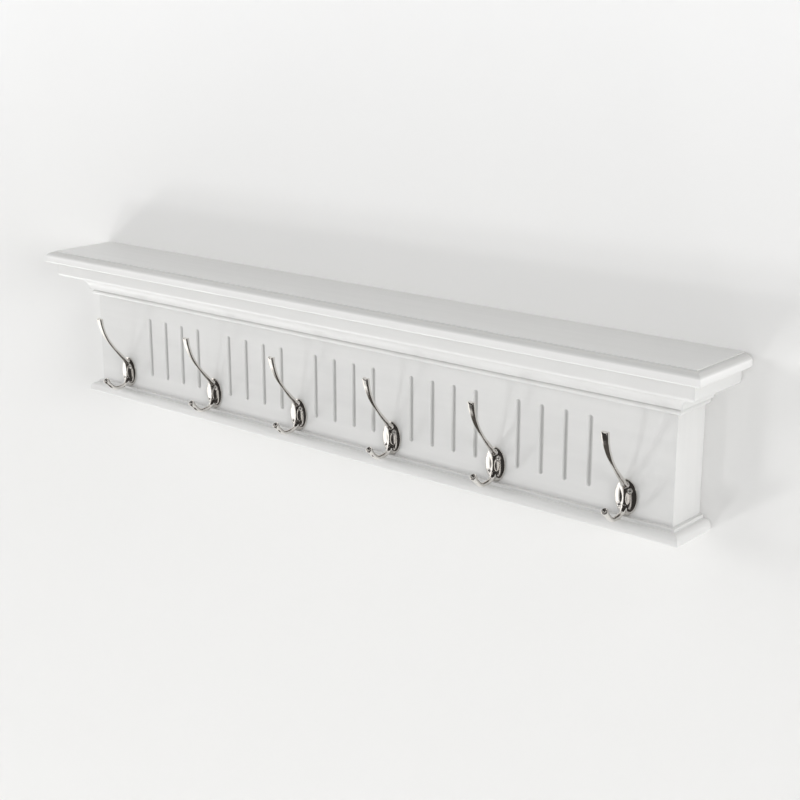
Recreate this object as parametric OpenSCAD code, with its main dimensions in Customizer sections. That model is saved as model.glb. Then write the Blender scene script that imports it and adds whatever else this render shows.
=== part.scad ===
// Wall shelf rack with a moulded crown, a fluted front panel and six double coat hooks.
// X runs along the rack, +Y points into the wall and +Z is up. The origin is on the wall,
// halfway between the two keyhole hangers, and everything stands out from the wall along -Y.

/* [Carcass] */
// Length over the end panels
carcass_w = 1082; // [1060:1:1400]
// Depth from the wall to the face of the front panel
carcass_d = 66; // [62:1:90]
// Height from the shelf top to the foot of the base moulding
overall_h = 235; // [234:1:260]
// Thickness of the front and end panels
panel_t = 15; // [13:1:18]
// Thickness of the bottom board
bottom_t = 12; // [9:1:16]
// Height of the hanging rail under the shelf
rail_h = 48; // [46:1:60]
// Thickness of the hanging rail
rail_t = 18; // [16:1:22]

/* [Shelf] */
// Thickness of the shelf board
shelf_t = 18; // [16:1:22]
// How far the shelf stands out beyond the carcass
shelf_out = 59; // [56:1:80]
// Width of the moulded edge
edge_w = 11; // [9:0.5:14]
// Height of the upright lip where the flat top ends
lip_h = 1.2; // [0.6:0.1:2]

/* [Mouldings] */
// How far the frieze band stands out beyond the carcass
frieze_out = 45.8; // [44:0.1:52]
// Height of the frieze band
frieze_h = 23.5; // [20:0.5:28]
// Radius of the rounded lower edge of the frieze
frieze_r = 6; // [3:0.5:8]
// Radius of the hollow in the cove moulding
cove_r = 15; // [12:0.5:16]
// Height of the base moulding
base_h = 18; // [17:0.5:19]
// How far the base moulding stands out beyond the carcass
base_out = 16.5; // [15:0.5:20]

/* [Flutes] */
// Flutes between two hooks
flutes_per_bay = 4; // [2:1:4]
// Distance between neighbouring flutes
flute_pitch = 37.2; // [30:0.1:40]
// Length of a flute from end to end
flute_len = 95; // [60:1:98]
// Distance from the shelf top to the top of the flutes
flute_drop = 96.5; // [90:0.5:98]
// Radius of the round cutter
flute_r = 4.0; // [2:0.1:4]
// Depth of a flute
flute_depth = 2.8; // [1.2:0.1:3]

/* [Hooks] */
// Spacing of the four inner hooks
hook_pitch = 181; // [150:1:190]
// Distance of the outermost hooks from the middle of the rack
hook_end_x = 474; // [450:1:490]
// Distance from the shelf top to the middle of a hook's rose
hook_drop = 192.5; // [190:0.5:193.5]
// Width of the rose
rose_w = 32.6; // [26:0.2:33]
// Height of the rose
rose_h = 48.4; // [42:0.2:48.4]
// How far the upper arm reaches out from the panel
arm_out = 55; // [45:1:60]
// Height of the arm's tip above the middle of the rose
arm_rise = 98; // [80:1:100]
// How far the lower prong reaches out from the panel
prong_out = 50; // [42:0.5:54]

/* [Hangers] */
// Distance between the two keyhole hangers
hanger_spacing = 800; // [400:10:900]
// Radius of a keyhole's round entry
keyhole_r = 5; // [4.5:0.1:5.5]
// Width of the slot above the entry
keyhole_slot = 4.6; // [4:0.1:5]

/* [Hidden] */

paint = [0.93, 0.93, 0.92];
bare_wood = [0.80, 0.68, 0.50];
nickel = [0.72, 0.70, 0.68];
zinc = [0.62, 0.64, 0.66];

// Heights: the hanging rail sits under the shelf and its middle is Z = 0
top_z = shelf_t + rail_h / 2;
under_shelf_z = top_z - shelf_t;
frieze_z = under_shelf_z - frieze_h;
foot_z = top_z - overall_h;
base_top_z = foot_z + base_h;
inner_w = carcass_w - 2 * panel_t;
arc_steps = 8;

// Hook centres from left to right
hook_xs = concat([-hook_end_x], [for (i = [-1.5 : 1 : 1.5]) i * hook_pitch], [hook_end_x]);
rose_z = top_z - hook_drop;
// The bays of flutes lie on the hook pitch, with two beside the inner hooks
bay_xs = [for (i = [-2 : 2]) i * hook_pitch];

// ---- outlines, as [distance out from the carcass, height] ----

function arc(centre, r, from, to) =
    [for (i = [0 : arc_steps]) let (a = from + (to - from) * i / arc_steps)
        centre + r * [cos(a), sin(a)]];

// A shallow curve from a to b that bows out by rise at its middle
function bowed(a, b, rise) =
    let (side = [-(b - a)[1], (b - a)[0]] / norm(b - a))
    [for (i = [0 : arc_steps]) let (t = i / arc_steps) a + t * (b - a) + 4 * rise * t * (1 - t) * side];

// Moulded edge of the shelf from the end of the flat top to its underside
ledge_w = 1.4;
nose_top = -9;
nose_r = 2.5;
edge_start = shelf_out - edge_w;
shelf_edge = concat(
    [[edge_start, 0], [edge_start, -lip_h]],
    bowed([edge_start + ledge_w, -lip_h], [shelf_out, nose_top], 1.9),
    arc([shelf_out - nose_r, nose_r - shelf_t], nose_r, 0, -90)
);

// Band under the shelf with a rounded lower edge
frieze_outline = concat(
    [[0, frieze_z], [0, under_shelf_z], [frieze_out, under_shelf_z]],
    arc([frieze_out - frieze_r, frieze_z + frieze_r], frieze_r, 0, -90)
);

// Hollow moulding: upright fillet, quarter hollow, small step back and a bead at the foot
cove_fillet = 5.5;
cove_foot = 11;
quirk_out = 8;
quirk_h = 1.6;
bead_r = 3.5;
cove_lip_z = frieze_z - cove_fillet - cove_r;
quirk_z = cove_lip_z - 1.4;
bead_z = quirk_z - quirk_h - bead_r;
cove_outline = concat(
    [[0, frieze_z], [cove_foot + cove_r, frieze_z]],
    arc([cove_foot + cove_r, cove_lip_z], cove_r, 90, 180),
    [[cove_foot, quirk_z], [quirk_out - 1, quirk_z - 1], [quirk_out - bead_r, bead_z + bead_r]],
    arc([quirk_out - bead_r, bead_z], bead_r, 70, -90),
    [[0, bead_z - bead_r]]
);

// Foot moulding: narrow step, shoulder and a quarter round
step_out = 5.5;
step_h = 4;
shoulder_out = 8;
foot_r = 2;
base_round = base_out - shoulder_out;
base_outline = concat(
    [[0, foot_z], [0, base_top_z]],
    arc([step_out - 1, base_top_z - 1], 1, 90, 0),
    [[step_out, base_top_z - step_h]],
    arc([shoulder_out, base_top_z - step_h - base_round], base_round, 90, 0),
    arc([base_out - foot_r, foot_z + foot_r], foot_r, 0, -90)
);

// ---- runs of moulding ----

// How far the mitred runs are drawn out before they are cut, more than any moulding stands out
plan_reach = 80;

// An outline drawn out along the whole front
module front_run(outline) {
    translate([0, -carcass_d, 0])
        rotate([90, 0, -90])
            linear_extrude(carcass_w + 2 * plan_reach, center = true) polygon(outline);
}

// An outline drawn out along the right end, from the wall forward
module end_run(outline) {
    translate([carcass_w / 2, 0, 0])
        rotate([90, 0, 0])
            linear_extrude(carcass_d + plan_reach) polygon(outline);
}

// Everything in front of the carcass between the two 45 degree mitres
module front_mitres() {
    translate([0, 0, foot_z - 1])
        linear_extrude(overall_h + 2)
            polygon([
                [-carcass_w / 2, -carcass_d],
                [carcass_w / 2, -carcass_d],
                [carcass_w / 2 + plan_reach, -carcass_d - plan_reach],
                [-carcass_w / 2 - plan_reach, -carcass_d - plan_reach]
            ]);
}

// Everything beside the right end behind its mitre
module end_mitre() {
    translate([0, 0, foot_z - 1])
        linear_extrude(overall_h + 2)
            polygon([
                [carcass_w / 2, 0],
                [carcass_w / 2 + plan_reach, 0],
                [carcass_w / 2 + plan_reach, -carcass_d - plan_reach],
                [carcass_w / 2, -carcass_d]
            ]);
}

module moulding_front(outline) {
    color(paint) intersection() {
        front_run(outline);
        front_mitres();
    }
}

module moulding_return(outline, side) {
    color(paint) mirror([side < 0 ? 1 : 0, 0, 0]) intersection() {
        end_run(outline);
        end_mitre();
    }
}

// ---- dowels ----

dowel_r = 4;
dowel_len = 30;
dowel_up = 12;
dowel_pitch = 190;
// Six along the front panel and one in each end panel
dowel_spots = concat(
    [for (i = [-2.5 : 1 : 2.5]) [i * dowel_pitch, -carcass_d + panel_t / 2]],
    [for (side = [-1, 1]) [side * (carcass_w - panel_t) / 2, -carcass_d / 2]]
);

module dowels() {
    for (p = dowel_spots)
        translate([p[0], p[1], under_shelf_z + dowel_up - dowel_len])
            cylinder(r = dowel_r, h = dowel_len, $fn = 32);
}

// ---- boards ----

module shelf_board() {
    right_edge = [for (p = shelf_edge) [carcass_w / 2 + p[0], top_z + p[1]]];
    left_edge = [for (i = [len(right_edge) - 1 : -1 : 0]) [-right_edge[i][0], right_edge[i][1]]];
    front_edge = [for (p = shelf_edge) [p[0], top_z + p[1]]];
    color(paint) difference() {
        intersection() {
            front_run(concat([[-carcass_d, under_shelf_z], [-carcass_d, top_z]], front_edge));
            rotate([90, 0, 0])
                linear_extrude(carcass_d + plan_reach) polygon(concat(right_edge, left_edge));
        }
        dowels();
    }
}

// Round-ended groove cut by a ball-nosed cutter
module flute() {
    half = flute_len / 2 - flute_r;
    translate([0, -carcass_d - flute_r + flute_depth, top_z - flute_drop - flute_len / 2]) {
        translate([0, 0, -half]) cylinder(r = flute_r, h = 2 * half, $fn = 32);
        for (end = [-half, half])
            translate([0, 0, end]) sphere(r = flute_r, $fn = 32);
    }
}

module front_panel() {
    color(paint) difference() {
        translate([0, 0, foot_z])
            linear_extrude(under_shelf_z - foot_z)
                polygon([
                    [-carcass_w / 2, -carcass_d],
                    [carcass_w / 2, -carcass_d],
                    [inner_w / 2, panel_t - carcass_d],
                    [-inner_w / 2, panel_t - carcass_d]
                ]);
        for (bay = bay_xs)
            for (i = [0 : flutes_per_bay - 1])
                translate([bay + (i - (flutes_per_bay - 1) / 2) * flute_pitch, 0, 0]) flute();
        for (x = hook_xs)
            at_hook_screws(x) pilot_hole();
        dowels();
    }
}

module end_panel(side) {
    color(paint) mirror([side < 0 ? 1 : 0, 0, 0]) difference() {
        translate([0, 0, foot_z])
            linear_extrude(under_shelf_z - foot_z)
                polygon([
                    [carcass_w / 2, 0],
                    [carcass_w / 2, -carcass_d],
                    [inner_w / 2, panel_t - carcass_d],
                    [inner_w / 2, 0]
                ]);
        dowels();
    }
}

module bottom_board() {
    color(paint)
        translate([-inner_w / 2, panel_t - carcass_d, foot_z])
            cube([inner_w, carcass_d - panel_t, bottom_t]);
}

// Glue blocks in the angle behind the front panel
block_side = 22;
block_len = 70;
block_pitch = 310;
block_tip = 2;
block_xs = [for (i = [-1.5 : 1 : 1.5]) i * block_pitch];

module corner_block() {
    rotate([90, 0, 90])
        linear_extrude(block_len, center = true)
            polygon([
                [0, 0],
                [block_side, 0],
                [block_side, block_tip],
                [block_tip, block_side],
                [0, block_side]
            ]);
}

module upper_corner_blocks() {
    color(bare_wood) for (x = block_xs)
        translate([x, panel_t - carcass_d, under_shelf_z])
            mirror([0, 0, 1]) corner_block();
}

module lower_corner_blocks() {
    color(bare_wood) for (x = block_xs)
        translate([x, panel_t - carcass_d, foot_z + bottom_t]) corner_block();
}

// ---- hanging rail and keyhole plates ----

plate_t = 2;
plate_w = 22;
plate_h = 44;
slot_rise = 8;
head_room = 8;
head_play = 1.5;
plate_screw_z = 17;

// Upright plate with round ends and its middle at the entry hole
module plate_outline() {
    square([plate_w, plate_h - plate_w], center = true);
    for (end = [-1, 1])
        translate([0, end * (plate_h - plate_w) / 2]) circle(r = plate_w / 2, $fn = 48);
}

module hanging_rail() {
    pocket_r = keyhole_r + head_play;
    color(bare_wood) difference() {
        translate([-inner_w / 2, -rail_t, -rail_h / 2]) cube([inner_w, rail_t, rail_h]);
        for (side = [-1, 1]) translate([side * hanger_spacing / 2, 0, 0]) rotate([90, 0, 0]) {
            translate([0, 0, -1]) linear_extrude(plate_t + 1) plate_outline();
            // Room behind the plate for the head of the wall screw
            linear_extrude(plate_t + head_room) {
                circle(r = pocket_r, $fn = 48);
                translate([-pocket_r, 0]) square([2 * pocket_r, slot_rise]);
                translate([0, slot_rise]) circle(r = pocket_r, $fn = 48);
            }
            for (z = [-plate_screw_z, plate_screw_z])
                translate([0, z, 0]) cylinder(r = screw_r, h = plate_screw_len, $fn = 32);
        }
    }
}

module hanger_plate(side) {
    color(zinc) translate([side * hanger_spacing / 2, 0, 0]) rotate([90, 0, 0]) difference() {
        linear_extrude(plate_t) difference() {
            plate_outline();
            circle(r = keyhole_r, $fn = 48);
            translate([-keyhole_slot / 2, 0]) square([keyhole_slot, slot_rise]);
            translate([0, slot_rise]) circle(r = keyhole_slot / 2, $fn = 48);
        }
        for (z = [-plate_screw_z, plate_screw_z])
            translate([0, z, 0]) screw_seat(plate_t);
    }
}

// ---- screws, with their heads' top at Z = 0 and their points down ----

screw_r = 1.7;
screw_head_r = 3.4;
screw_head_h = 1.7;
screw_taper = 3;
screw_tip_r = 0.3;
hook_screw_len = 16;
hook_screw_crown = 0.4;
plate_screw_len = 14;
recess_w = 0.9;
recess_span = 3.6;
recess_depth = 1.1;

module screw_seat(depth) {
    cylinder(r1 = screw_head_r, r2 = screw_r, h = screw_head_h, $fn = 32);
    translate([0, 0, -1]) cylinder(r = screw_head_r, h = 1, $fn = 32);
    cylinder(r = screw_r, h = depth + 1, $fn = 32);
}

module wood_screw(length, crown) {
    shank = length - screw_taper;
    difference() {
        union() {
            translate([0, 0, -crown])
                cylinder(r1 = screw_head_r - crown, r2 = screw_head_r, h = crown, $fn = 32);
            cylinder(r1 = screw_head_r, r2 = screw_r, h = screw_head_h, $fn = 32);
            cylinder(r = screw_r, h = shank, $fn = 32);
            translate([0, 0, shank]) cylinder(r1 = screw_r, r2 = screw_tip_r, h = screw_taper, $fn = 32);
        }
        for (turn = [0, 90])
            rotate([0, 0, turn])
                translate([-recess_span / 2, -recess_w / 2, -crown - 1])
                    cube([recess_span, recess_w, recess_depth + crown + 1]);
    }
}

module hanger_screws() {
    color(zinc) for (side = [-1, 1])
        for (z = [-plate_screw_z, plate_screw_z])
            translate([side * hanger_spacing / 2, 0, z])
                rotate([90, 0, 0]) wood_screw(plate_screw_len, 0);
}

// ---- coat hooks, each about the middle of its rose on the face of the panel ----

rose_rim = 1.2;
rose_dome = 4.8;
rose_sides = 28;
rose_rings = 5;
screw_x = 7.3;
screw_z = 10.2;
seat_out = 4.6;
bar_sides = 12;

// Move something made with X across, Y out from the panel and Z up to a hook's place
module at_hook(x) {
    translate([x, -carcass_d, rose_z]) mirror([0, 1, 0]) children();
}

// The two screw places of a hook: upper right and lower left, pointing into the panel
module at_hook_screws(x) {
    for (end = [-1, 1])
        translate([x + end * screw_x, -carcass_d - seat_out, rose_z + end * screw_z])
            rotate([-90, 0, 0]) children();
}

module pilot_hole() {
    cylinder(r = screw_r, h = hook_screw_len, $fn = 32);
}

function bezier(p, t) =
    p[0] * pow(1 - t, 3) + 3 * p[1] * t * pow(1 - t, 2)
    + 3 * p[2] * t * t * (1 - t) + p[3] * pow(t, 3);

// Centre line of the bar in the [out, up] plane: upper arm, spine over the rose, lower prong
spine_out = 4.6;
prong_low = -22.3;
arm_curve = [[arm_out, arm_rise], [arm_out - 3, arm_rise - 37], [20, 30.5], [spine_out, 13]];
prong_curve_1 = [[spine_out, -11], [5, -19], [14, prong_low], [28, prong_low]];
prong_curve_2 = [[28, prong_low], [prong_out - 13, prong_low], [prong_out - 7, -13], [prong_out, -4.5]];
arm_steps = 12;
prong_steps = 6;
bar_line = concat(
    [for (i = [0 : arm_steps]) bezier(arm_curve, i / arm_steps)],
    [for (i = [0.5 : prong_steps - 0.5]) bezier(prong_curve_1, i / prong_steps)],
    [for (i = [0 : prong_steps]) bezier(prong_curve_2, i / prong_steps)]
);

// Half width and half thickness of the bar as [place along it, size], from 0 at the arm's tip to 1
half_widths = [
    [0, 5.4], [0.07, 4.9], [0.14, 4.1], [0.22, 3.1], [0.31, 2.7], [0.38, 3.4],
    [0.5, 5], [0.66, 3.9], [0.85, 3.2], [1, 4.9]
];
half_thicks = [[0, 2.7], [0.14, 2.1], [0.3, 2.1], [0.5, 3.2], [0.66, 3.2], [0.85, 3.0], [1, 4.7]];

function eased(a, b, t) = a + (b - a) * t * t * (3 - 2 * t);
function within(t, a, b) = max(0, min(1, (t - a) / (b - a)));
function along(keys, t, i = 0) =
    i >= len(keys) - 2 || t <= keys[i + 1][0]
    ? eased(keys[i][1], keys[i + 1][1], within(t, keys[i][0], keys[i + 1][0]))
    : along(keys, t, i + 1);

module bar() {
    last = len(bar_line) - 1;
    rings = [
        for (i = [0 : last])
            let (
                ahead = bar_line[min(last, i + 1)] - bar_line[max(0, i - 1)],
                side = [-ahead[1], ahead[0]] / norm(ahead),
                w = along(half_widths, i / last),
                h = along(half_thicks, i / last)
            )
            for (k = [0 : bar_sides - 1])
                let (a = 360 * k / bar_sides, c = bar_line[i] + h * sin(a) * side)
                [w * cos(a), c[0], c[1]]
    ];
    walls = [
        for (i = [0 : last - 1]) for (k = [0 : bar_sides - 1])
            let (a = i * bar_sides + k, b = i * bar_sides + (k + 1) % bar_sides)
            each [[a, b, a + bar_sides], [b, b + bar_sides, a + bar_sides]]
    ];
    caps = [
        [for (k = [bar_sides - 1 : -1 : 0]) k],
        [for (k = [0 : bar_sides - 1]) last * bar_sides + k]
    ];
    polyhedron(rings, concat(walls, caps));
}

// Round hollow in an end of the bar, sunk into it from the last point of its centre line
module end_hollow(tip, before, r, sink) {
    c = tip + (r - sink) * (tip - before) / norm(tip - before);
    translate([0, c[0], c[1]]) sphere(r = r, $fn = 32);
}

// Domed oval back plate: an upright rim, then rings that close in over the dome
module rose() {
    top_angle = 80;
    rings = [
        for (j = [0 : rose_rings]) for (k = [0 : rose_sides - 1])
            let (
                a = 360 * k / rose_sides,
                b = top_angle * max(0, j - 1) / (rose_rings - 1),
                rise = j == 0 ? 0 : rose_rim + rose_dome * sin(b)
            )
            [rose_w / 2 * cos(b) * cos(a), rise, rose_h / 2 * cos(b) * sin(a)]
    ];
    walls = [
        for (j = [0 : rose_rings - 1]) for (k = [0 : rose_sides - 1])
            let (a = j * rose_sides + k, b = j * rose_sides + (k + 1) % rose_sides)
            each [[a, b, a + rose_sides], [b, b + rose_sides, a + rose_sides]]
    ];
    caps = [
        [for (k = [rose_sides - 1 : -1 : 0]) k],
        [for (k = [0 : rose_sides - 1]) rose_rings * rose_sides + k]
    ];
    polyhedron(rings, concat(walls, caps));
}

module coat_hook(x) {
    color(nickel) difference() {
        at_hook(x) {
            rose();
            bar();
        }
        at_hook(x) {
            end_hollow(arm_curve[0], arm_curve[1], 6.5, 1.3);
            end_hollow(prong_curve_2[3], prong_curve_2[2], 4.4, 2);
        }
        at_hook_screws(x) screw_seat(seat_out);
    }
}

module hook_screws() {
    color(nickel) for (x = hook_xs)
        at_hook_screws(x) wood_screw(hook_screw_len, hook_screw_crown);
}

shelf_board();
moulding_front(frieze_outline);  // frieze_front
moulding_return(frieze_outline, -1);  // frieze_return_left
moulding_return(frieze_outline, 1);  // frieze_return_right
moulding_front(cove_outline);  // cove_front
moulding_return(cove_outline, -1);  // cove_return_left
moulding_return(cove_outline, 1);  // cove_return_right
front_panel();
end_panel(-1);  // end_panel_left
end_panel(1);  // end_panel_right
moulding_front(base_outline);  // base_front
moulding_return(base_outline, -1);  // base_return_left
moulding_return(base_outline, 1);  // base_return_right
bottom_board();
hanging_rail();
upper_corner_blocks();
lower_corner_blocks();
color(bare_wood) dowels();  // shelf_dowels
hanger_plate(-1);  // hanger_plate_left
hanger_plate(1);  // hanger_plate_right
hanger_screws();
coat_hook(hook_xs[0]);  // coat_hook_1
coat_hook(hook_xs[1]);  // coat_hook_2
coat_hook(hook_xs[2]);  // coat_hook_3
coat_hook(hook_xs[3]);  // coat_hook_4
coat_hook(hook_xs[4]);  // coat_hook_5
coat_hook(hook_xs[5]);  // coat_hook_6
hook_screws();
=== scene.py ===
"""White painted wall shelf rack with six polished double coat hooks, in a pale studio.

Positions are in metres in the part's own frame: X along the rack, +Y into the wall, Z up.
"""

import math

import bpy
import numpy as np
from mathutils import Matrix, Vector


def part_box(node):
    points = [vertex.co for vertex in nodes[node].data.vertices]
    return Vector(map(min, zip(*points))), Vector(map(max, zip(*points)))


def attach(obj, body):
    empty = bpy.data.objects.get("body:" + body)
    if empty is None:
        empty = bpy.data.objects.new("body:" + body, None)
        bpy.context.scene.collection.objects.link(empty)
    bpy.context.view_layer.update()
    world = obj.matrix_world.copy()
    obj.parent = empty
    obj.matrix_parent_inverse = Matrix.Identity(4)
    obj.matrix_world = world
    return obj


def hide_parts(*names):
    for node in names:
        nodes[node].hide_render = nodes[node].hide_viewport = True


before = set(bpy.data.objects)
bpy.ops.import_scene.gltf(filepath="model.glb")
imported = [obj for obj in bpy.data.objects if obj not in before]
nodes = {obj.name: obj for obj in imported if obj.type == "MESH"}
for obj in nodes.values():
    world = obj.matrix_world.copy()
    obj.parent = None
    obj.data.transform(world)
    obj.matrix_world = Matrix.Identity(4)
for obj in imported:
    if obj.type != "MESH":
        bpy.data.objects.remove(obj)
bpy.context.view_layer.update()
scene = bpy.context.scene
MM = 0.001
HOOK_NUMBERS = range(1, 7)

# ---------------------------------------------------------------- camera

# Turn to the left from facing the wall, tilt down and roll are in degrees
CAMERA_AT = (1.4016, -1.5999, 0.4826)
CAMERA_TURN = 40.21
CAMERA_DOWN = 15.99
CAMERA_ROLL = -0.08
LENS_MM = 67.77
SENSOR_MM = 36
NEAREST = 0.05
FARTHEST = 40


def make_camera():
    data = bpy.data.cameras.new("studio_camera")
    data.sensor_width = SENSOR_MM
    data.lens = LENS_MM
    data.clip_start = NEAREST
    data.clip_end = FARTHEST
    cam = bpy.data.objects.new("studio_camera", data)
    scene.collection.objects.link(cam)
    turn = Matrix.Rotation(math.radians(CAMERA_TURN), 4, "Z")
    tilt = Matrix.Rotation(math.radians(90 - CAMERA_DOWN), 4, "X")
    roll = Matrix.Rotation(math.radians(CAMERA_ROLL), 4, "Z")
    cam.matrix_world = Matrix.Translation(CAMERA_AT) @ turn @ tilt @ roll
    scene.camera = cam


make_camera()

# ---------------------------------------------------------------- node helpers


class Graph:
    """Short calls for building a tree of shader or geometry nodes."""

    def __init__(self, tree):
        self.tree = tree
        tree.nodes.clear()

    def add(self, kind, **settings):
        node = self.tree.nodes.new(kind)
        for key, value in settings.items():
            setattr(node, key, value)
        return node

    def link(self, a, b):
        self.tree.links.new(a, b)

    def put(self, socket, value):
        """Link an output to the socket, or set a plain value on it."""
        if isinstance(value, bpy.types.NodeSocket):
            self.link(value, socket)
        else:
            socket.default_value = value

    def math(self, operation, a, b=0.0):
        node = self.add("ShaderNodeMath", operation=operation)
        self.put(node.inputs[0], a)
        self.put(node.inputs[1], b)
        return node.outputs[0]

    def times(self, a, b):
        return self.math("MULTIPLY", a, b)

    def axes(self, vector):
        """Outputs X, Y and Z of a vector."""
        node = self.add("ShaderNodeSeparateXYZ")
        self.link(vector, node.inputs[0])
        return node.outputs

    def scaled(self, vector, scale):
        node = self.add("ShaderNodeMapping")
        self.link(vector, node.inputs["Vector"])
        node.inputs["Scale"].default_value = scale
        return node.outputs["Vector"]

    def noise(self, vector, scale, detail=3.0, roughness=0.5):
        node = self.add("ShaderNodeTexNoise")
        self.link(vector, node.inputs["Vector"])
        node.inputs["Scale"].default_value = scale
        node.inputs["Detail"].default_value = detail
        node.inputs["Roughness"].default_value = roughness
        return node.outputs["Fac"]

    def ramp(self, fac, low, high, out_low=0.0, out_high=1.0):
        """Map low..high to out_low..out_high, held beyond both ends."""
        node = self.add("ShaderNodeMapRange")
        self.link(fac, node.inputs["Value"])
        node.inputs["From Min"].default_value = low
        node.inputs["From Max"].default_value = high
        node.inputs["To Min"].default_value = out_low
        node.inputs["To Max"].default_value = out_high
        return node.outputs["Result"]

    def band(self, fac, start, full, fade, end):
        """Rise from 0 to 1 between start and full, and fall back between fade and end."""
        return self.times(self.ramp(fac, start, full), self.ramp(fac, fade, end, 1.0, 0.0))

    def mix(self, fac, a, b):
        node = self.add("ShaderNodeMix", data_type="RGBA")
        self.put(node.inputs["Factor"], fac)
        self.put(node.inputs["A"], a)
        self.put(node.inputs["B"], b)
        return node.outputs["Result"]

    def mix_shader(self, fac, a, b):
        node = self.add("ShaderNodeMixShader")
        for socket, output in zip(node.inputs, (fac, a, b)):
            self.link(output, socket)
        return node.outputs["Shader"]

    def bump(self, height, strength, distance, normal=None):
        node = self.add("ShaderNodeBump")
        self.link(height, node.inputs["Height"])
        node.inputs["Strength"].default_value = strength
        node.inputs["Distance"].default_value = distance
        if normal is not None:
            self.link(normal, node.inputs["Normal"])
        return node.outputs["Normal"]


def rgb(r, g, b):
    return (r, g, b, 1.0)


def new_material(name):
    mat = bpy.data.materials.new(name)
    mat.use_nodes = True
    g = Graph(mat.node_tree)
    shader = g.add("ShaderNodeBsdfPrincipled")
    out = g.add("ShaderNodeOutputMaterial")
    g.link(shader.outputs["BSDF"], out.inputs["Surface"])
    where = g.add("ShaderNodeTexCoord").outputs["Object"]
    return mat, g, shader, where


# ---------------------------------------------------------------- materials

# Scale of a noise in each direction, so that it runs along one of the axes
ALONG = {"x": (0.035, 1.0, 1.0), "y": (1.0, 0.06, 1.0), "z": (1.0, 1.0, 0.06)}

# The shelf's lip, the foot of the ledge below it that is painted darker as shade, and the panel's face that
# the flutes are cut in
LIP_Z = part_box("shelf_board")[1].z - 0.0011
LEDGE_Z = LIP_Z - 0.0062
PANEL_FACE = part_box("front_panel")[0].y

PAINT_DARKER = rgb(0.725, 0.724, 0.716)
PAINT_LIGHTER = rgb(0.765, 0.763, 0.754)
# Painted highlight: the shelf's nose is made lighter than the rest of the paint
NOSE_PAINTED_HIGHLIGHT = rgb(0.86, 0.858, 0.85)
# Painted shade on the shelf's ledge and top, and deep in the flutes
SHELF_PAINTED_SHADE = rgb(0.60, 0.597, 0.585)
FLUTE_PAINTED_SHADE = rgb(0.56, 0.558, 0.55)
# Share of the ledge's painted shade that is put on the shelf's top above the lip
TOP_PAINTED_SHADE_SHARE = 0.18


def shelf_painted_shade_and_highlight(g, paint, height, clouds):
    """Painted shade: darker on what faces up, most on the ledge under the lip. Painted highlight: the nose
    below is lighter.
    """
    facing_up = g.axes(g.add("ShaderNodeTexCoord").outputs["Normal"])["Z"]
    # Painted highlight on the nose below the ledge, weaker where it faces down
    nose = g.ramp(height, LEDGE_Z - 0.001, LEDGE_Z + 0.0005, 1.0, 0.0)
    painted_highlight = g.times(nose, g.ramp(facing_up, -0.05, 0.1, 0.3, 1.0))
    paint = g.mix(painted_highlight, paint, NOSE_PAINTED_HIGHLIGHT)
    # Painted shade: full on the ledge below the lip, a little on the top above it, only on faces that face
    # up
    painted_shade = g.ramp(height, LEDGE_Z, LEDGE_Z + 0.0025)
    painted_shade = g.times(painted_shade, g.ramp(height, LIP_Z, LIP_Z + 0.0006, 1.0, TOP_PAINTED_SHADE_SHARE))
    painted_shade = g.times(painted_shade, g.ramp(facing_up, 0.1, 0.3))
    painted_shade = g.times(painted_shade, g.ramp(clouds, 0.3, 0.7, 0.85, 1.0))
    return g.mix(painted_shade, paint, SHELF_PAINTED_SHADE)


def flute_painted_shade(g, paint, depth, broad):
    """Painted shade in the flutes, darker deep down. The panel's back is left plain."""
    flank = g.ramp(depth, PANEL_FACE + 0.0001, PANEL_FACE + 0.0006, 0.0, 0.3)
    bottom = g.ramp(depth, PANEL_FACE + 0.0010, PANEL_FACE + 0.0027, 0.0, 0.7)
    front_only = g.ramp(depth, PANEL_FACE + 0.004, PANEL_FACE + 0.003)
    painted_shade = g.times(g.math("ADD", flank, bottom), front_only)
    painted_shade = g.times(painted_shade, g.ramp(broad, 0.3, 0.7, 0.8, 1.0))
    return g.mix(painted_shade, paint, FLUTE_PAINTED_SHADE)


def painted_wood(name, along, shelf_shading=False, flute_shading=False):
    """White satin paint over sanded board: brush lines along the grain and a fine orange peel."""
    mat, g, shader, where = new_material(name)
    grain_at = g.scaled(where, ALONG[along])
    streaks = g.noise(grain_at, 420, 4, 0.6)
    broad = g.noise(grain_at, 70, 3, 0.55)
    clouds = g.noise(where, 9, 2, 0.5)
    peel = g.noise(where, 1400, 2, 0.5)
    tone = g.ramp(g.math("ADD", g.times(broad, 0.6), g.times(clouds, 0.4)), 0.3, 0.7)
    paint = g.mix(tone, PAINT_DARKER, PAINT_LIGHTER)
    # Painted shade on the shelf's ledge and top, and a painted highlight on its nose
    if shelf_shading:
        paint = shelf_painted_shade_and_highlight(g, paint, g.axes(where)["Z"], clouds)
    # Painted shade deep in the flutes
    if flute_shading:
        paint = flute_painted_shade(g, paint, g.axes(where)["Y"], broad)
    g.put(shader.inputs["Base Color"], paint)
    g.put(shader.inputs["Roughness"], g.ramp(streaks, 0.25, 0.75, 0.36, 0.48))
    shader.inputs["Specular IOR Level"].default_value = 0.45
    coat = g.bump(streaks, 0.12, 0.00025)
    g.put(shader.inputs["Normal"], g.bump(peel, 0.06, 0.0001, coat))
    return mat


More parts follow.
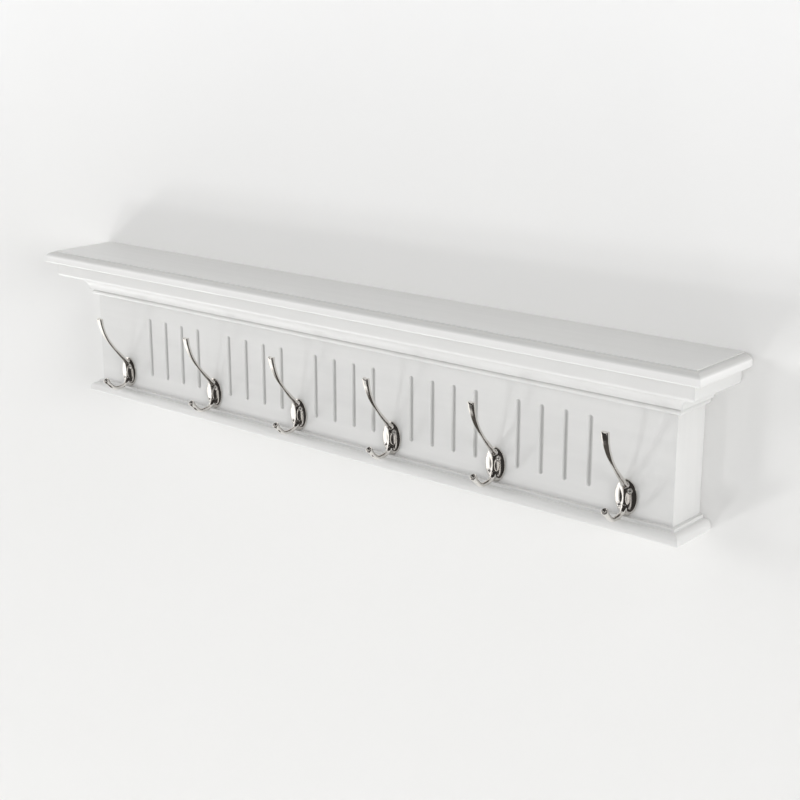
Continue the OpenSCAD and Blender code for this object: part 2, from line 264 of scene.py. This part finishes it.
def bare_wood(name, along):
    """Sawn pale softwood with growth rings and saw marks."""
    mat, g, shader, where = new_material(name)
    rings = g.add("ShaderNodeTexWave", wave_type="RINGS", rings_direction="X", wave_profile="SIN")
    g.link(g.scaled(where, (0.4, 6.0, 6.0)), rings.inputs["Vector"])
    rings.inputs["Scale"].default_value = 22
    rings.inputs["Distortion"].default_value = 3.5
    rings.inputs["Detail"].default_value = 2
    body = g.mix(rings.outputs["Fac"], rgb(0.60, 0.42, 0.245), rgb(0.72, 0.545, 0.35))
    fibre = g.noise(g.scaled(where, ALONG[along]), 900, 5, 0.65)
    saw_marks = g.ramp(fibre, 0.35, 0.7, 0.0, 0.45)
    g.put(shader.inputs["Base Color"], g.mix(saw_marks, body, rgb(0.50, 0.33, 0.18)))
    g.put(shader.inputs["Roughness"], g.ramp(fibre, 0.3, 0.7, 0.62, 0.82))
    g.put(shader.inputs["Normal"], g.bump(fibre, 0.35, 0.0003))
    return mat


def polished_nickel(name, sheen, recess=None):
    """Bright nickel plate with faint haze and fine scratches. A screw's recess of this radius is painted
    near black as shade.
    """
    mat, g, shader, where = new_material(name)
    haze = g.noise(where, 160, 3, 0.6)
    fine = g.noise(g.scaled(where, (1.0, 1.0, 0.2)), 2600, 2, 0.6)
    plate = g.mix(g.ramp(haze, 0.3, 0.7), rgb(0.74, 0.715, 0.685), rgb(0.80, 0.775, 0.745))
    if recess:
        at = g.axes(where)
        across = g.math("ADD", g.math("POWER", at["X"], 2.0), g.math("POWER", at["Z"], 2.0))
        within = g.ramp(across, recess**2, (recess * 0.9) ** 2)
        # Painted shade: the deep part of the cross recess is near black
        recess_painted_shade = g.times(g.ramp(at["Y"], -0.0004, 0.0002), within)
        plate = g.mix(recess_painted_shade, plate, rgb(0.03, 0.028, 0.026))
    g.put(shader.inputs["Base Color"], plate)
    shader.inputs["Metallic"].default_value = 1.0
    g.put(shader.inputs["Roughness"], g.ramp(haze, 0.25, 0.75, *sheen))
    g.put(shader.inputs["Normal"], g.bump(fine, 0.03, 0.00005))
    return mat


def zinc_steel(name):
    """Zinc plated pressed steel: blotchy, slightly blue and half matt."""
    mat, g, shader, where = new_material(name)
    flakes = g.noise(where, 700, 3, 0.6)
    blotches = g.ramp(flakes, 0.35, 0.65)
    g.put(shader.inputs["Base Color"], g.mix(blotches, rgb(0.56, 0.58, 0.60), rgb(0.68, 0.69, 0.70)))
    shader.inputs["Metallic"].default_value = 1.0
    g.put(shader.inputs["Roughness"], g.ramp(flakes, 0.3, 0.7, 0.28, 0.44))
    g.put(shader.inputs["Normal"], g.bump(flakes, 0.1, 0.0001))
    return mat


PAINT = {axis: painted_wood("painted_wood_" + axis, axis) for axis in "xyz"}
WOOD = {axis: bare_wood("bare_wood_" + axis, axis) for axis in "xz"}
# Paints with painted shade: the shelf's also has a painted highlight on the nose, the panel's has it in the
# flutes
SHADED_SHELF_PAINT = painted_wood("painted_wood_shelf", "x", shelf_shading=True)
SHADED_PANEL_PAINT = painted_wood("painted_wood_panel", "x", flute_shading=True)
NICKEL = polished_nickel("polished_nickel_plate", (0.07, 0.14))
# Its cross recess is painted near black as shade
SCREW_NICKEL = polished_nickel("nickel_plate_screws", (0.3, 0.4), recess=0.0022)
ZINC = zinc_steel("zinc_plate")

NODE_MATERIALS = {
    "shelf_board": SHADED_SHELF_PAINT,
    "frieze_front": PAINT["x"],
    "frieze_return_left": PAINT["y"],
    "frieze_return_right": PAINT["y"],
    "cove_front": PAINT["x"],
    "cove_return_left": PAINT["y"],
    "cove_return_right": PAINT["y"],
    "front_panel": SHADED_PANEL_PAINT,
    "end_panel_left": PAINT["z"],
    "end_panel_right": PAINT["z"],
    "base_front": PAINT["x"],
    "base_return_left": PAINT["y"],
    "base_return_right": PAINT["y"],
    "bottom_board": PAINT["x"],
    "hanging_rail": WOOD["x"],
    "upper_corner_blocks": WOOD["x"],
    "lower_corner_blocks": WOOD["x"],
    "shelf_dowels": WOOD["z"],
    "hanger_plate_left": ZINC,
    "hanger_plate_right": ZINC,
    "hanger_screws": ZINC,
}

# ---------------------------------------------------------------- carried-over CAD nodes

SHARP_ANGLE = math.radians(26)
FLAT_ANGLE = math.radians(0.5)
CORNER_GAP = 0.00001
ARRIS_RADIUS = 0.0003
# Small round pieces keep the edges they were built with
UNSOFTENED = ("hanger_screws", "shelf_dowels")


def smooth_group():
    """A modifier that joins the imported corners, then shades smooth everything but real edges."""
    tree = bpy.data.node_groups.new("smooth_but_edges", "GeometryNodeTree")
    tree.interface.new_socket("Geometry", in_out="INPUT", socket_type="NodeSocketGeometry")
    tree.interface.new_socket("Geometry", in_out="OUTPUT", socket_type="NodeSocketGeometry")
    g = Graph(tree)
    start = g.add("NodeGroupInput")
    end = g.add("NodeGroupOutput")
    drop = g.add("GeometryNodeRemoveAttribute")
    drop.inputs["Name"].default_value = "custom_normal"
    merge = g.add("GeometryNodeMergeByDistance")
    merge.inputs["Distance"].default_value = CORNER_GAP
    faces = g.add("GeometryNodeSetShadeSmooth", domain="FACE")
    edges = g.add("GeometryNodeSetShadeSmooth", domain="EDGE")
    edges.inputs["Shade Smooth"].default_value = False
    angle = g.add("GeometryNodeInputMeshEdgeAngle")
    sharp = g.add("FunctionNodeCompare", data_type="FLOAT", operation="GREATER_THAN")
    g.link(angle.outputs["Unsigned Angle"], sharp.inputs["A"])
    sharp.inputs["B"].default_value = SHARP_ANGLE
    g.link(sharp.outputs["Result"], edges.inputs["Selection"])
    chain = [start, drop, merge, faces, edges, end]
    for earlier, later in zip(chain, chain[1:]):
        g.link(earlier.outputs[0], later.inputs[0])
    return tree


SMOOTH = smooth_group()


def finish_cad_node(name):
    """Give a node its material and slightly rounded arrises."""
    ob = nodes[name]
    for slot in ob.material_slots:
        slot.material = NODE_MATERIALS[name]
    join = ob.modifiers.new("smooth", "NODES")
    join.node_group = SMOOTH
    if name in UNSOFTENED:
        return
    flat = ob.modifiers.new("flat faces", "DECIMATE")
    flat.decimate_type = "DISSOLVE"
    flat.angle_limit = FLAT_ANGLE
    soft = ob.modifiers.new("soft edges", "BEVEL")
    soft.width = ARRIS_RADIUS
    soft.segments = 2
    soft.limit_method = "ANGLE"
    soft.angle_limit = SHARP_ANGLE
    soft.use_clamp_overlap = True
    even = ob.modifiers.new("even normals", "WEIGHTED_NORMAL")
    even.keep_sharp = True


for node_name in NODE_MATERIALS:
    finish_cad_node(node_name)

# ---------------------------------------------------------------- coat hooks

# All sizes here are millimetres about the middle of a hook's rose: X across, O out of the panel, Z up.
ROSE_HALF = (16.3, 24.2)
ROSE_RIM = 1.3
ROSE_DOME = 4.7
# The keel swells towards both roots, up to this height, and ends just above it
KEEL_SWELL_UP = 17
KEEL_HALF_UP = 18
KEEL_OUT = 5.0
SCREW_AT = (7.3, 10.2)
SCREW_SEAT = 4.7
SEAT_DEEP = 1.0
SEAT_R = 2.9
# A block that holds one hook, and how near the middle the bars and the rose stay in it
BLOCK_LOW = (-18, -1.2, -28)
BLOCK_HIGH = (18, 60, 102)
BARS_HALF = 6.5
ROSE_ZONE_OUT = 12
ROSE_ZONE_UP = 26


def bezier(points, count):
    p = np.array(points, float)
    t = np.linspace(0, 1, count)[:, None]
    return (1 - t) ** 3 * p[0] + 3 * t * (1 - t) ** 2 * p[1] + 3 * t * t * (1 - t) * p[2] + t**3 * p[3]


def smooth_min(a, b, r):
    h = np.maximum(r - np.abs(a - b), 0) / r
    return np.minimum(a, b) - h * h * r / 4


def smooth_max(a, b, r):
    return -smooth_min(-a, -b, r)


class Bar:
    """A bar swept along a line in the [out, up] plane with a changing oval section.

    Half widths, half thicknesses and squareness are pairs of a share of the line's length and a value.
    """

    END_ROUND = 0.9

    def __init__(self, line, widths, thicks, squareness):
        self.at = line
        step = np.linalg.norm(np.diff(line, axis=0), axis=1)
        self.run = np.concatenate([[0], np.cumsum(step)])
        share = self.run / self.run[-1]
        tangent = np.gradient(line, self.run, axis=0)
        self.tangent = tangent / np.linalg.norm(tangent, axis=1)[:, None]
        self.sizes = np.stack([self.key(share, k) for k in (widths, thicks, squareness)], 1)

    @staticmethod
    def key(share, keys):
        places = np.array([k[0] for k in keys])
        values = np.array([k[1] for k in keys])
        i = np.clip(np.searchsorted(places, share, side="right") - 1, 0, len(keys) - 2)
        t = np.clip((share - places[i]) / (places[i + 1] - places[i]), 0, 1)
        return values[i] + (values[i + 1] - values[i]) * t * t * (3 - 2 * t)

    def distance(self, p):
        """Signed distance of each point, roughly: below zero inside the bar, which ends flat."""
        q = p[:, 1:]
        a, b = self.at[:-1], self.at[1:]
        ab = b - a
        along = ((q[:, None, :] - a) * ab).sum(2) / (ab * ab).sum(1)
        held = np.clip(along, 0, 1)
        near = a + held[:, :, None] * ab
        gap = ((q[:, None, :] - near) ** 2).sum(2)
        i = gap.argmin(1)
        row = np.arange(len(q))
        t = held[row, i][:, None]
        centre = near[row, i]
        tangent = self.tangent[i] * (1 - t) + self.tangent[i + 1] * t
        tangent /= np.linalg.norm(tangent, axis=1)[:, None]
        size = self.sizes[i] * (1 - t) + self.sizes[i + 1] * t
        off = q - centre
        across = np.abs(p[:, 0])
        rise = np.abs(off[:, 0] * -tangent[:, 1] + off[:, 1] * tangent[:, 0])
        u, v = across / size[:, 0], rise / size[:, 1]
        n = size[:, 2]
        level = (u**n + v**n + 1e-12) ** (1 / n)
        slope = np.sqrt((u / size[:, 0]) ** 2 + (v / size[:, 1]) ** 2) / np.sqrt(u * u + v * v + 1e-12)
        side = (level - 1) / np.maximum(slope, 1e-6)
        # How far along the bar each point lies, counted on past the first and the last stretch
        length = self.run[i + 1] - self.run[i]
        free = along[row, i]
        beyond = np.where((free > 1) & (i < len(a) - 1), 1, np.where((free < 0) & (i > 0), 0, free))
        run = self.run[i] + beyond * length
        return smooth_max(side, np.maximum(-run, run - self.run[-1]), self.END_ROUND)


ARM = Bar(
    bezier([(55, 98), (52, 61), (17.5, 33.5), (5.2, 16.5)], 40),
    [
        (0, 5.3), (0.06, 5.2), (0.15, 4.8), (0.3, 4.0), (0.47, 3.1),
        (0.65, 2.7), (0.8, 3.6), (0.92, 4.9), (1, 5.8),
    ],
    [(0, 2.8), (0.08, 2.4), (0.3, 2.1), (0.6, 2.1), (0.85, 2.8), (1, 3.4)],
    [(0, 5.0), (0.25, 4.0), (0.6, 2.8), (1, 2.0)],
)
PRONG = Bar(
    np.concatenate([
        bezier([(5.2, -9), (5.6, -18), (13, -22.2), (26, -22.2)], 18)[:-1],
        bezier([(26, -22.2), (36, -22.2), (42.5, -13.5), (49.8, -4.7)], 18),
    ]),
    [(0, 4.4), (0.2, 3.8), (0.55, 3.3), (0.8, 3.5), (1, 4.8)],
    [(0, 3.5), (0.2, 3.2), (0.55, 3.0), (0.8, 3.3), (1, 4.7)],
    [(0, 2.0), (1, 2.0)],
)
# Hollows in the flared ends: the end's middle, the way it points, the ball's radius and how far it sinks in
HOLLOWS = (
    (ARM.at[0], -ARM.tangent[0], 6.5, 1.3),
    (PRONG.at[-1], PRONG.tangent[-1], 3.1, 2.6),
)


def rose_field(x, out, up):
    """Domed oval on an upright rim."""
    a, b = ROSE_HALF
    ax = np.stack([x / a, (out - ROSE_RIM) / ROSE_DOME, up / b], 1)
    axx = np.stack([x / a**2, (out - ROSE_RIM) / ROSE_DOME**2, up / b**2], 1)
    k0 = np.linalg.norm(ax, axis=1) + 1e-9
    dome = k0 * (k0 - 1) / (np.linalg.norm(axx, axis=1) + 1e-9)
    e0 = np.hypot(x / a, up / b) + 1e-9
    wall = e0 * (e0 - 1) / (np.hypot(x / a**2, up / b**2) + 1e-9)
    rim = smooth_max(wall, out - ROSE_RIM, 0.5)
    return smooth_min(dome, rim, 0.5)


def keel_field(x, out, up):
    """Ridge down the middle of the rose, wider and higher at the roots of the arm and the prong."""
    swell = 0.5 - 0.5 * np.cos(np.clip(up / KEEL_SWELL_UP, -1, 1) * math.pi)
    half = 1.9 + 3.1 * swell
    keel = (np.abs(x) / half + (out - KEEL_OUT) / (2.1 + 1.5 * swell) - 1) * (1.5 + 1.2 * swell)
    return smooth_max(keel, np.abs(up) - KEEL_HALF_UP, 3.0)


def countersink_field(x, out, up, side):
    """Seat of the upper right (side 1) or the lower left (side -1) screw."""
    r = np.hypot(x - side * SCREW_AT[0], up - side * SCREW_AT[1])
    cone = (r - SEAT_R - np.minimum(out - SCREW_SEAT + SEAT_DEEP, 0.6) * 0.75) * 0.8
    return smooth_max(cone, SCREW_SEAT - SEAT_DEEP - out, 0.2)


def hook_field(p):
    """Signed field of one casting: below zero inside. p is rows of [x, out, up]."""
    x, out, up = p.T
    body = smooth_min(rose_field(x, out, up), keel_field(x, out, up), 1.6)
    body = smooth_min(body, ARM.distance(p), 2.2)
    body = smooth_min(body, PRONG.distance(p), 2.0)
    for end, lead, r, sink in HOLLOWS:
        mid = end + lead * (r - sink)
        ball = np.sqrt(x**2 + (out - mid[0]) ** 2 + (up - mid[1]) ** 2) - r
        body = smooth_max(body, -ball, 0.7)
    for side in (-1, 1):
        body = smooth_max(body, -countersink_field(x, out, up, side), 0.25)
    # The flat back on the panel
    return smooth_max(body, -out, 0.25)


def surface_nets(field, lo, hi, cell, wanted):
    """Quads around the zero level of field, one vertex to a cell, pulled onto the surface."""
    far, batch = 9.0, 40000
    axes = [np.arange(a, b + cell, cell) for a, b in zip(lo, hi)]
    grid = np.stack(np.meshgrid(*axes, indexing="ij"), -1)
    flat = grid.reshape(-1, 3)
    value = np.full(len(flat), far)
    near = np.flatnonzero(wanted(flat))
    for part in np.array_split(near, max(1, len(near) // batch)):
        value[part] = field(flat[part])
    d = value.reshape(grid.shape[:3])
    inside = d < 0
    nx, ny, nz = d.shape
    corners = [(i, j, k) for i in (0, 1) for j in (0, 1) for k in (0, 1)]
    count = sum(inside[i:nx - 1 + i, j:ny - 1 + j, k:nz - 1 + k].astype(int) for i, j, k in corners)
    cells = np.argwhere((count > 0) & (count < 8))
    index = np.full(count.shape, -1)
    index[tuple(cells.T)] = np.arange(len(cells))
    # Each vertex is the mean of the places where its cell's edges cross the surface
    total, hits = np.zeros((len(cells), 3)), np.zeros(len(cells))
    for axis in range(3):
        step = np.eye(3, dtype=int)[axis]
        for corner in corners:
            if corner[axis]:
                continue
            a = cells + corner
            b = a + step
            da, db = d[tuple(a.T)], d[tuple(b.T)]
            cut = (da < 0) != (db < 0)
            t = (da / np.where(cut, da - db, 1))[:, None]
            total[cut] += (a + t * step)[cut]
            hits[cut] += 1
    verts = total / hits[:, None] * cell + np.array(lo)
    # Each crossed grid edge gives a quad of the four cells around it
    quads = []
    for axis in range(3):
        u, v = (axis + 1) % 3, (axis + 2) % 3
        eu, ev = np.eye(3, dtype=int)[u], np.eye(3, dtype=int)[v]
        a = np.take(inside, range(d.shape[axis] - 1), axis)
        b = np.take(inside, range(1, d.shape[axis]), axis)
        for sign in (True, False):
            at = np.argwhere((a != b) & (a == sign))
            at = at[(at[:, u] > 0) & (at[:, v] > 0)]
            ring = [at - eu - ev, at - ev, at, at - eu]
            quad = np.stack([index[tuple(c.T)] for c in ring], 1)
            quads.append(quad if sign else quad[:, ::-1])
    return verts, np.concatenate(quads)


def pulled(field, verts, quads, rounds):
    """Even out the vertices along the surface and bring them back onto it."""
    probe, longest_pull, least_slope = 0.02, 0.6, 0.05
    edges = np.concatenate([quads[:, [i, (i + 1) % 4]] for i in range(4)])
    edges = np.concatenate([edges, edges[:, ::-1]])
    degree = np.bincount(edges[:, 0], minlength=len(verts))[:, None]
    for turn in range(rounds):
        if turn < rounds - 2:
            sums = [np.bincount(edges[:, 0], verts[edges[:, 1], k], len(verts)) for k in range(3)]
            mean = np.stack(sums, 1) / degree
            verts = verts + 0.5 * (mean - verts)
        for _ in range(2):
            here = field(verts)
            slope = np.stack(
                [(field(verts + probe * e) - field(verts - probe * e)) / (2 * probe) for e in np.eye(3)], 1
            )
            square = (slope**2).sum(1)
            pull = np.clip(here, -longest_pull, longest_pull) / np.maximum(square, least_slope)
            verts = verts - pull[:, None] * slope
    return verts


def mesh_from(name, verts, faces, material):
    mesh = bpy.data.meshes.new(name)
    mesh.from_pydata([tuple(v) for v in verts], [], [tuple(int(i) for i in f) for f in faces])
    mesh.validate()
    mesh.polygons.foreach_set("use_smooth", [True] * len(mesh.polygons))
    mesh.materials.append(material)
    mesh.update()
    return mesh


def hook_mesh():
    cell = 0.55

    def wanted(p):
        in_bars = np.abs(p[:, 0]) < BARS_HALF
        in_rose = (p[:, 1] < ROSE_ZONE_OUT) & (p[:, 2] <= ROSE_ZONE_UP)
        return in_bars | in_rose

    verts, quads = surface_nets(hook_field, BLOCK_LOW, BLOCK_HIGH, cell, wanted)
    verts = pulled(hook_field, verts, quads, 5)
    verts[:, 1] = np.maximum(verts[:, 1], 0)
    verts = verts * MM * (1, -1, 1)
    return mesh_from("coat_hook_casting", verts, quads[:, ::-1], NICKEL)


# The rose's middle is halfway between the two heights of the screws, which are set about it
screw_lo, screw_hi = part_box("hook_screws")
HOOK_UP = (screw_lo.z + screw_hi.z) / 2


def hook_centre(number):
    """The middle of a rose on the panel's face, from the CAD hook's box."""
    lo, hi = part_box(f"coat_hook_{number}")
    return Vector(((lo.x + hi.x) / 2, PANEL_FACE, HOOK_UP))


def add_piece(name, mesh, at, replaced):
    ob = bpy.data.objects.new(name, mesh)
    scene.collection.objects.link(ob)
    ob.location = at
    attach(ob, "root")
    if replaced:
        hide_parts(replaced)
    return ob


casting = hook_mesh()
castings = []
for number in HOOK_NUMBERS:
    name = f"hook_{number}_casting"
    castings.append(add_piece(name, casting, hook_centre(number), f"coat_hook_{number}"))

# ---------------------------------------------------------------- hook screws

# Millimetres again, about the head's edge
SCREW_SIDES = 48
SHANK_R = 1.6
SHANK_END = -11
HEAD_R = 3.1
HEAD_DOME = 0.75
# How far the head's edge lies below the rose where the screw stands
HEAD_SUNK = 0.35
# Cross recess: half width and length of a slot, the width of its sloped sides and ends, and its depth
CROSS_HALF = 0.7
CROSS_REACH = 2.0
CROSS_SIDE = 0.2
CROSS_END = 0.5
CROSS_DEEP = 1.7


def recess_depth(r, angle):
    """How far the cross recess lowers the dome at this radius and angle."""
    nearest = max(abs(math.cos(angle)), abs(math.sin(angle)))
    off = r * math.sqrt(max(0.0, 1 - nearest * nearest))
    cut = min(1.0, max(0.0, (CROSS_HALF - off) / CROSS_SIDE))
    reach = min(1.0, max(0.0, (CROSS_REACH - r) / CROSS_END))
    return CROSS_DEEP * cut * reach


def screw_mesh():
    """Raised countersunk head with a cross recess, and its plain shank. The head's edge is at O = 0."""
    profile = [(SHANK_R, SHANK_END), (SHANK_R, -2.2), (HEAD_R - 0.25, -0.45), (HEAD_R, -0.12)]
    profile += [(HEAD_R * math.cos(a), HEAD_DOME * math.sin(a)) for a in np.linspace(0.12, 1.5, 12)]
    verts = []
    for r, out in profile:
        for k in range(SCREW_SIDES):
            angle = 2 * math.pi * k / SCREW_SIDES
            fall = recess_depth(r, angle) if out > 0 else 0.0
            verts.append((r * math.cos(angle), out - fall, r * math.sin(angle)))
    faces = []
    last = (len(profile) - 1) * SCREW_SIDES
    for start in range(0, last, SCREW_SIDES):
        for k in range(SCREW_SIDES):
            a, b = start + k, start + (k + 1) % SCREW_SIDES
            faces.append((a, a + SCREW_SIDES, b + SCREW_SIDES, b))
    faces.append(tuple(range(SCREW_SIDES)))
    faces.append(tuple(last + k for k in reversed(range(SCREW_SIDES))))
    points = np.array(verts) * MM * (1, -1, 1)
    return mesh_from("hook_screw", points, faces, SCREW_NICKEL)


screw = screw_mesh()
for number in HOOK_NUMBERS:
    for side, where in ((-1, "lower"), (1, "upper")):
        offset = Vector((side * SCREW_AT[0], -(SCREW_SEAT - HEAD_SUNK), side * SCREW_AT[1])) * MM
        replaced = "hook_screws" if (number, side) == (1, -1) else None
        name = f"hook_{number}_screw_{where}"
        add_piece(name, screw, hook_centre(number) + offset, replaced)

# ---------------------------------------------------------------- stage

FLOOR_Z = -1.6
WALL_Y = 0.001
WALL_HALF = 5
WALL_TOP = 3.2
WALL_COLOUR = rgb(0.885, 0.883, 0.875)
FLOOR_COLOUR = rgb(0.86, 0.858, 0.85)


def stage_material(name, colour, one_sided):
    """Matt paint with painted light: lighter from just above the shelf upwards. A one-sided one can't be
    seen from the back.
    """
    mat, g, shader, where = new_material(name)
    painted_light_colour = tuple(min(0.99, c * 1.3) for c in colour[:3]) + (1.0,)
    # Painted light and shade on the wall: darker near the shelf, lighter higher up
    painted_light_mask = g.ramp(g.axes(where)["Z"], 0.04, 0.45)
    g.put(shader.inputs["Base Color"], g.mix(painted_light_mask, colour, painted_light_colour))
    shader.inputs["Roughness"].default_value = 0.9
    shader.inputs["Specular IOR Level"].default_value = 0.1
    if one_sided:
        out = next(n for n in mat.node_tree.nodes if n.type == "OUTPUT_MATERIAL")
        clear = g.add("ShaderNodeBsdfTransparent").outputs["BSDF"]
        back = g.add("ShaderNodeNewGeometry").outputs["Backfacing"]
        g.link(g.mix_shader(back, shader.outputs["BSDF"], clear), out.inputs["Surface"])
    return mat


def stage_piece(name, verts, faces, material):
    mesh = bpy.data.meshes.new(name)
    mesh.from_pydata(verts, [], faces)
    mesh.materials.append(material)
    ob = bpy.data.objects.new(name, mesh)
    scene.collection.objects.link(ob)
    return ob


def wall_with_opening(material):
    """The wall, left open where the rack covers it so that light from behind reaches the rack's back."""
    panel, base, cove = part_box("front_panel"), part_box("base_front"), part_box("cove_front")
    frieze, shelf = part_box("frieze_front"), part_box("shelf_board")
    inset = 0.0015
    # Upper limit and half width of each strip, from the floor up; the widths follow the mouldings' outlines
    strips = [
        (base[0].z + inset, 0),
        (base[0].z + 0.0065, base[1].x - 2 * inset),
        (base[0].z + 0.0135, panel[1].x + 0.007),
        (base[1].z - inset, panel[1].x + 0.004),
        (cove[0].z + inset, panel[1].x - inset),
        (cove[0].z + 0.0075, panel[1].x + 0.0055),
        (cove[0].z + 0.018, panel[1].x + 0.0095),
        (cove[1].z - 0.0055, panel[1].x + 0.013),
        (cove[1].z, cove[1].x - inset),
        (frieze[0].z + 0.006, frieze[1].x - 0.0075),
        (shelf[0].z, frieze[1].x - inset),
        (shelf[1].z - 0.0095, shelf[1].x - inset),
        (shelf[1].z - 0.0065, shelf[1].x - 0.004),
        (shelf[1].z - 0.0035, shelf[1].x - 0.0085),
        (shelf[1].z - inset, shelf[1].x - 0.0125),
        (WALL_TOP, 0),
    ]
    verts, faces = [], []
    bottom = FLOOR_Z
    for top, half in strips:
        for x0, x1 in ((-WALL_HALF, -half), (half, WALL_HALF)):
            at = len(verts)
            verts += [(x0, WALL_Y, bottom), (x1, WALL_Y, bottom), (x1, WALL_Y, top), (x0, WALL_Y, top)]
            faces.append((at, at + 1, at + 2, at + 3))
        bottom = top
    stage_piece("studio_wall", verts, faces, material)


# The wall carries painted light, lighter higher up
wall_with_opening(stage_material("studio_wall", WALL_COLOUR, True))
studio_floor = stage_piece(
    "studio_floor",
    [(-6, -7, FLOOR_Z), (6, -7, FLOOR_Z), (6, 5, FLOOR_Z), (-6, 5, FLOOR_Z)],
    [(0, 1, 2, 3)],
    stage_material("studio_floor", FLOOR_COLOUR, False),
)
# Light that a real studio would bounce off its floor comes through it here
studio_floor.visible_glossy = False
studio_floor.visible_shadow = False

# ---------------------------------------------------------------- light

LIGHT_CENTRE = Vector((0, 0, -0.1))
SUN_AWAY = 3

# Polished metal is lit only by the room it mirrors, so the lamps leave it out
mirrors = bpy.data.collections.new("lit_by_the_room_only")
for ob in castings:
    mirrors.objects.link(ob)
for linked in mirrors.collection_objects:
    linked.light_linking.link_state = "EXCLUDE"


def lamp(name, kind, at, target, energy):
    data = bpy.data.lights.new(name, kind)
    data.energy = energy
    ob = bpy.data.objects.new(name, data)
    scene.collection.objects.link(ob)
    ob.location = at
    ob.rotation_euler = (Vector(target) - Vector(at)).to_track_quat("-Z", "Y").to_euler()
    ob.light_linking.receiver_collection = mirrors
    return ob


def distant_light(name, turn, rise, spread, strength):
    """A softbox so far away that its light is even over the rack."""
    turn, rise = math.radians(turn), math.radians(rise)
    way = Vector((math.sin(turn) * math.cos(rise), -math.cos(turn) * math.cos(rise), math.sin(rise)))
    ob = lamp(name, "SUN", LIGHT_CENTRE + way * SUN_AWAY, LIGHT_CENTRE, strength)
    ob.data.angle = math.radians(spread)


# Turn from straight in front (left is negative), rise above the horizontal and spread in degrees, strength
SOFTBOXES = {
    "right": (70, 10, 20, 1.18),
    "right_low": (70, -65, 20, 0.39),
    "right_high": (70, 50, 20, 0.19),
    "left": (-80, 10, 20, 0.88),
    "left_low": (-80, -40, 20, 0.46),
    "left_floor": (-80, -65, 20, 0.55),
    "front_left": (-55, 10, 20, 0.42),
    "front_left_high": (-45, 45, 20, 0.10),
    "front_left_low": (-51, -30, 7, 0.38),
    "front_low": (-23, -30, 7, 0.25),
}
for light_name, place in SOFTBOXES.items():
    distant_light(light_name, *place)

behind = lamp("behind", "AREA", (-0.8, 2.4, 0.9), LIGHT_CENTRE, 25)
behind.data.size = 1.6

# ---------------------------------------------------------------- world

SKY_COLOUR = rgb(0.86, 0.86, 0.855)
FILL_COLOUR = rgb(1.0, 1.0, 0.995)
FILL_STRENGTH = 0.435
# The mirrored room
ROOM_DARK = rgb(0.035, 0.032, 0.03)
ROOM_WINDOW = rgb(0.8, 0.78, 0.76)
ROOM_LEFT = rgb(1.5, 1.48, 1.45)
ROOM_FLOOR = rgb(0.085, 0.077, 0.07)
ROOM_CEILING = rgb(0.07, 0.066, 0.062)


def mirrored_room(g):
    """Colour of the room by direction: a bright left, a dark right with a window, a dark floor and ceiling.

    Turn is from straight in front in radians, left is negative. Rise is the sine of the height.
    """
    way = g.axes(g.add("ShaderNodeTexCoord").outputs["Generated"])
    turn = g.math("ARCTAN2", way["X"], g.times(way["Y"], -1.0))
    rise = way["Z"]
    window = g.times(g.band(turn, -0.44, -0.36, -0.14, -0.04), g.band(rise, -0.62, -0.5, -0.16, -0.06))
    colour = g.mix(window, ROOM_DARK, ROOM_WINDOW)
    colour = g.mix(g.ramp(turn, -0.94, -0.78, 1.0, 0.0), colour, ROOM_LEFT)
    colour = g.mix(g.ramp(rise, -0.74, -0.6, 1.0, 0.0), colour, ROOM_FLOOR)
    colour = g.mix(g.ramp(rise, 0.68, 0.82), colour, ROOM_CEILING)
    # Behind the wall, seen only in the metal at the rack's back
    back = g.mix(g.ramp(rise, -0.5, 0.6), rgb(0.3, 0.3, 0.3), rgb(0.75, 0.75, 0.75))
    return g.mix(g.ramp(way["Y"], 0.02, 0.2), colour, back)


def background(g, colour, strength):
    node = g.add("ShaderNodeBackground")
    g.put(node.inputs["Color"], colour)
    node.inputs["Strength"].default_value = strength
    return node.outputs["Background"]


def make_world():
    """A pale surround for the camera, even fill for painted surfaces and a room for polished metal."""
    world = bpy.data.worlds.new("studio")
    scene.world = world
    world.use_nodes = True
    g = Graph(world.node_tree)
    seen = background(g, SKY_COLOUR, 1.0)
    fill = background(g, FILL_COLOUR, FILL_STRENGTH)
    mirror = background(g, mirrored_room(g), 1.0)
    path = g.add("ShaderNodeLightPath")
    light = g.mix_shader(path.outputs["Is Glossy Ray"], fill, mirror)
    out = g.add("ShaderNodeOutputWorld")
    g.link(g.mix_shader(path.outputs["Is Camera Ray"], light, seen), out.inputs["Surface"])


make_world()
scene.view_settings.view_transform = "Standard"
scene.view_settings.look = "None"
